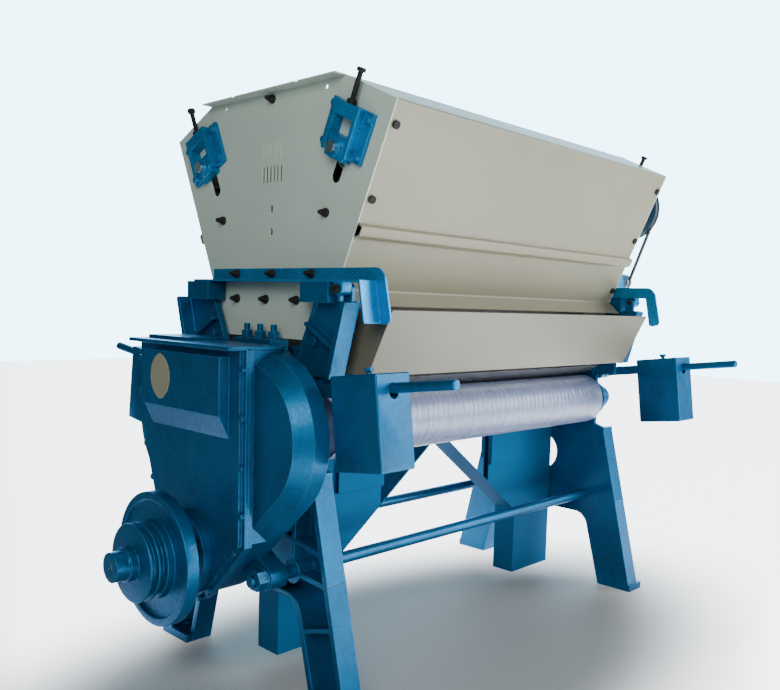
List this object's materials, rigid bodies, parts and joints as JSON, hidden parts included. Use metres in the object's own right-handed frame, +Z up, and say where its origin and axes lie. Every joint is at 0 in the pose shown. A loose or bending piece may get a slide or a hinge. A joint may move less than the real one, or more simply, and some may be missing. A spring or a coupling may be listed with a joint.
{
  "type": "roller cotton gin",
  "caption": "Roller cotton gin with paired leather rollers, fixed knives, rocking beater, weighted levers, end gear case, seed chutes and a tilting apron feeder hopper.",
  "frame": {"origin": "on the floor, at the centre of the foundation bolt holes in the feet", "axes": "+X along the rollers away from the gear case, -Y the front with the tilt pins, +Z up"},
  "size_m": [2.0538, 1.5916, 1.709],
  "materials": {
    "blue_casting": "painted casting",
    "bright_blue": "gloss paint",
    "blue_sheet": "painted sheet",
    "cream_paint": "satin paint",
    "hopper_end_paint": "satin paint",
    "hood_paint": "satin paint",
    "roller_leather": "ground and grooved",
    "bright_steel": "turned",
    "dark_steel": "blackened",
    "gear_iron": "machined",
    "apron_rubber": "matte",
    "belt_rubber": "matte"
  },
  "bodies": {
    "root": {"near_end_frame": "blue_casting", "far_end_frame": "blue_casting", "tie_rods": "blue_casting", "frame_bolts": "blue_casting", "hopper_brackets": "blue_casting", "roller_bearings": "blue_casting", "gear_case": "blue_casting", "gear_case_cover": "blue_casting", "gear_case_lid": "blue_casting", "inspection_plate": "cream_paint", "tilt_pins": "dark_steel", "drive_bearing_flange": "blue_casting", "seed_chutes": "blue_sheet", "seed_grid": "bright_steel", "beater_bearings": "blue_casting", "lint_hoods": "hood_paint", "hood_wing_nuts": "cream_paint", "knife_beams": "blue_casting", "fixed_knives": "bright_steel", "bearing_hangers": "blue_casting"},
    "drive": {"drive_shaft": "bright_steel", "drive_pulley": "blue_casting"},
    "countershaft": {"countershaft": "gear_iron", "bull_gear": "gear_iron"},
    "front_roller": {"front_roller_shaft": "bright_steel", "front_roller_cover": "roller_leather", "front_roller_gear": "gear_iron"},
    "back_roller": {"back_roller_shaft": "bright_steel", "back_roller_cover": "roller_leather", "back_roller_gear": "gear_iron"},
    "beater": {"beater_shaft": "bright_steel", "beater_blades": "blue_sheet", "beater_arm": "gear_iron"},
    "rod": {"connecting_rod": "gear_iron"},
    "near_front_lever": {"near_front_lever": "blue_casting"},
    "far_front_lever": {"far_front_lever": "blue_casting"},
    "near_back_lever": {"near_back_lever": "blue_casting"},
    "far_back_lever": {"far_back_lever": "blue_casting"},
    "near_front_weight": {"near_front_weight": "blue_casting"},
    "far_front_weight": {"far_front_weight": "blue_casting"},
    "near_back_weight": {"near_back_weight": "blue_casting"},
    "far_back_weight": {"far_back_weight": "blue_casting"},
    "feeder": {"near_hopper_end": "hopper_end_paint", "far_hopper_end": "hopper_end_paint", "hopper_side_panels": "cream_paint", "tilt_rails": "bright_blue", "hopper_bolts": "dark_steel", "take_up_frames": "bright_blue", "take_up_screws": "dark_steel", "aprons": "apron_rubber", "feeder_bearings": "bright_blue"},
    "front_take_up": {"front_take_up_blocks": "bright_blue", "feeder_belt": "belt_rubber"},
    "back_take_up": {"back_take_up_blocks": "bright_blue"},
    "front_top_roll": {"front_top_roll": "bright_steel", "feeder_pulley": "gear_iron"},
    "back_top_roll": {"back_top_roll": "bright_steel"},
    "front_feed_roll": {"front_feed_roll": "bright_steel"},
    "back_feed_roll": {"back_feed_roll": "bright_steel"},
    "jackshaft": {"feeder_jackshaft": "bright_steel"}
  },
  "joints": [
    {"name": "front_roller_spin", "type": "hinge", "parent": "root", "child": "front_roller", "pos_m": [0, -0.204, 0.754], "axis": [1, 0, 0], "continuous": true},
    {"name": "back_roller_spin", "type": "hinge", "parent": "root", "child": "back_roller", "pos_m": [0, 0.204, 0.754], "axis": [1, 0, 0], "continuous": true},
    {"name": "countershaft_spin", "type": "hinge", "parent": "root", "child": "countershaft", "pos_m": [-0.88, -0.09823, 0.50776], "axis": [1, 0, 0], "continuous": true},
    {"name": "drive_spin", "type": "hinge", "parent": "root", "child": "drive", "pos_m": [-1, 0, 0.408], "axis": [1, 0, 0], "continuous": true},
    {"name": "beater_rock", "type": "hinge", "parent": "root", "child": "beater", "pos_m": [0, 0, 0.935], "axis": [1, 0, 0], "range_deg": [-4.3, 4.3]},
    {"name": "rod_swing", "type": "hinge", "parent": "beater", "child": "rod", "pos_m": [-0.94, 0.12, 0.935], "axis": [1, 0, 0], "range_deg": [-4.4, 4.4]},
    {"name": "near_front_lift", "type": "hinge", "parent": "root", "child": "near_front_lever", "pos_m": [-0.775, -0.245, 0.862], "axis": [1, 0, 0], "range_deg": [-6, 0]},
    {"name": "near_front_weight_slide", "type": "slide", "parent": "near_front_lever", "child": "near_front_weight", "axis": [0, -0.9919, 0.1271], "range_m": [-0.005, 0.17]},
    {"name": "near_back_lift", "type": "hinge", "parent": "root", "child": "near_back_lever", "pos_m": [-0.775, 0.245, 0.862], "axis": [1, 0, 0], "range_deg": [0, 6]},
    {"name": "near_back_weight_slide", "type": "slide", "parent": "near_back_lever", "child": "near_back_weight", "axis": [0, 0.9919, 0.1271], "range_m": [-0.005, 0.17]},
    {"name": "far_front_lift", "type": "hinge", "parent": "root", "child": "far_front_lever", "pos_m": [0.775, -0.245, 0.862], "axis": [1, 0, 0], "range_deg": [-6, 0]},
    {"name": "far_front_weight_slide", "type": "slide", "parent": "far_front_lever", "child": "far_front_weight", "axis": [0, -0.9919, 0.1271], "range_m": [-0.005, 0.17]},
    {"name": "far_back_lift", "type": "hinge", "parent": "root", "child": "far_back_lever", "pos_m": [0.775, 0.245, 0.862], "axis": [1, 0, 0], "range_deg": [0, 6]},
    {"name": "far_back_weight_slide", "type": "slide", "parent": "far_back_lever", "child": "far_back_weight", "axis": [0, 0.9919, 0.1271], "range_m": [-0.005, 0.17]},
    {"name": "feeder_tilt", "type": "hinge", "parent": "root", "child": "feeder", "pos_m": [0, -0.372, 1.144], "axis": [1, 0, 0], "range_deg": [0, 35]},
    {"name": "front_take_up_slide", "type": "slide", "parent": "feeder", "child": "front_take_up", "axis": [0, -0.4151, 0.9098], "range_m": [-0.02, 0]},
    {"name": "front_top_roll_spin", "type": "hinge", "parent": "front_take_up", "child": "front_top_roll", "pos_m": [0, -0.315, 1.513], "axis": [1, 0, 0], "continuous": true},
    {"name": "front_feed_roll_spin", "type": "hinge", "parent": "feeder", "child": "front_feed_roll", "pos_m": [0, -0.12196, 1.08996], "axis": [1, 0, 0], "continuous": true},
    {"name": "back_take_up_slide", "type": "slide", "parent": "feeder", "child": "back_take_up", "axis": [0, 0.4151, 0.9098], "range_m": [-0.02, 0]},
    {"name": "back_top_roll_spin", "type": "hinge", "parent": "back_take_up", "child": "back_top_roll", "pos_m": [0, 0.315, 1.513], "axis": [1, 0, 0], "continuous": true},
    {"name": "back_feed_roll_spin", "type": "hinge", "parent": "feeder", "child": "back_feed_roll", "pos_m": [0, 0.12196, 1.08996], "axis": [1, 0, 0], "continuous": true},
    {"name": "jackshaft_spin", "type": "hinge", "parent": "feeder", "child": "jackshaft", "pos_m": [0.8, -0.29, 1.228], "axis": [1, 0, 0], "continuous": true}
  ],
  "couplings": [
    {"joint": "back_roller_spin", "follows": "front_roller_spin", "ratio": -1},
    {"joint": "countershaft_spin", "follows": "front_roller_spin", "ratio": -3.1875},
    {"joint": "drive_spin", "follows": "front_roller_spin", "ratio": 9.5625},
    {"joint": "rod_swing", "follows": "beater_rock", "ratio": -1},
    {"joint": "back_top_roll_spin", "follows": "front_top_roll_spin", "ratio": -1},
    {"joint": "front_feed_roll_spin", "follows": "front_top_roll_spin", "ratio": 1},
    {"joint": "back_feed_roll_spin", "follows": "front_top_roll_spin", "ratio": -1},
    {"joint": "jackshaft_spin", "follows": "front_top_roll_spin", "ratio": 4.24}
  ]
}
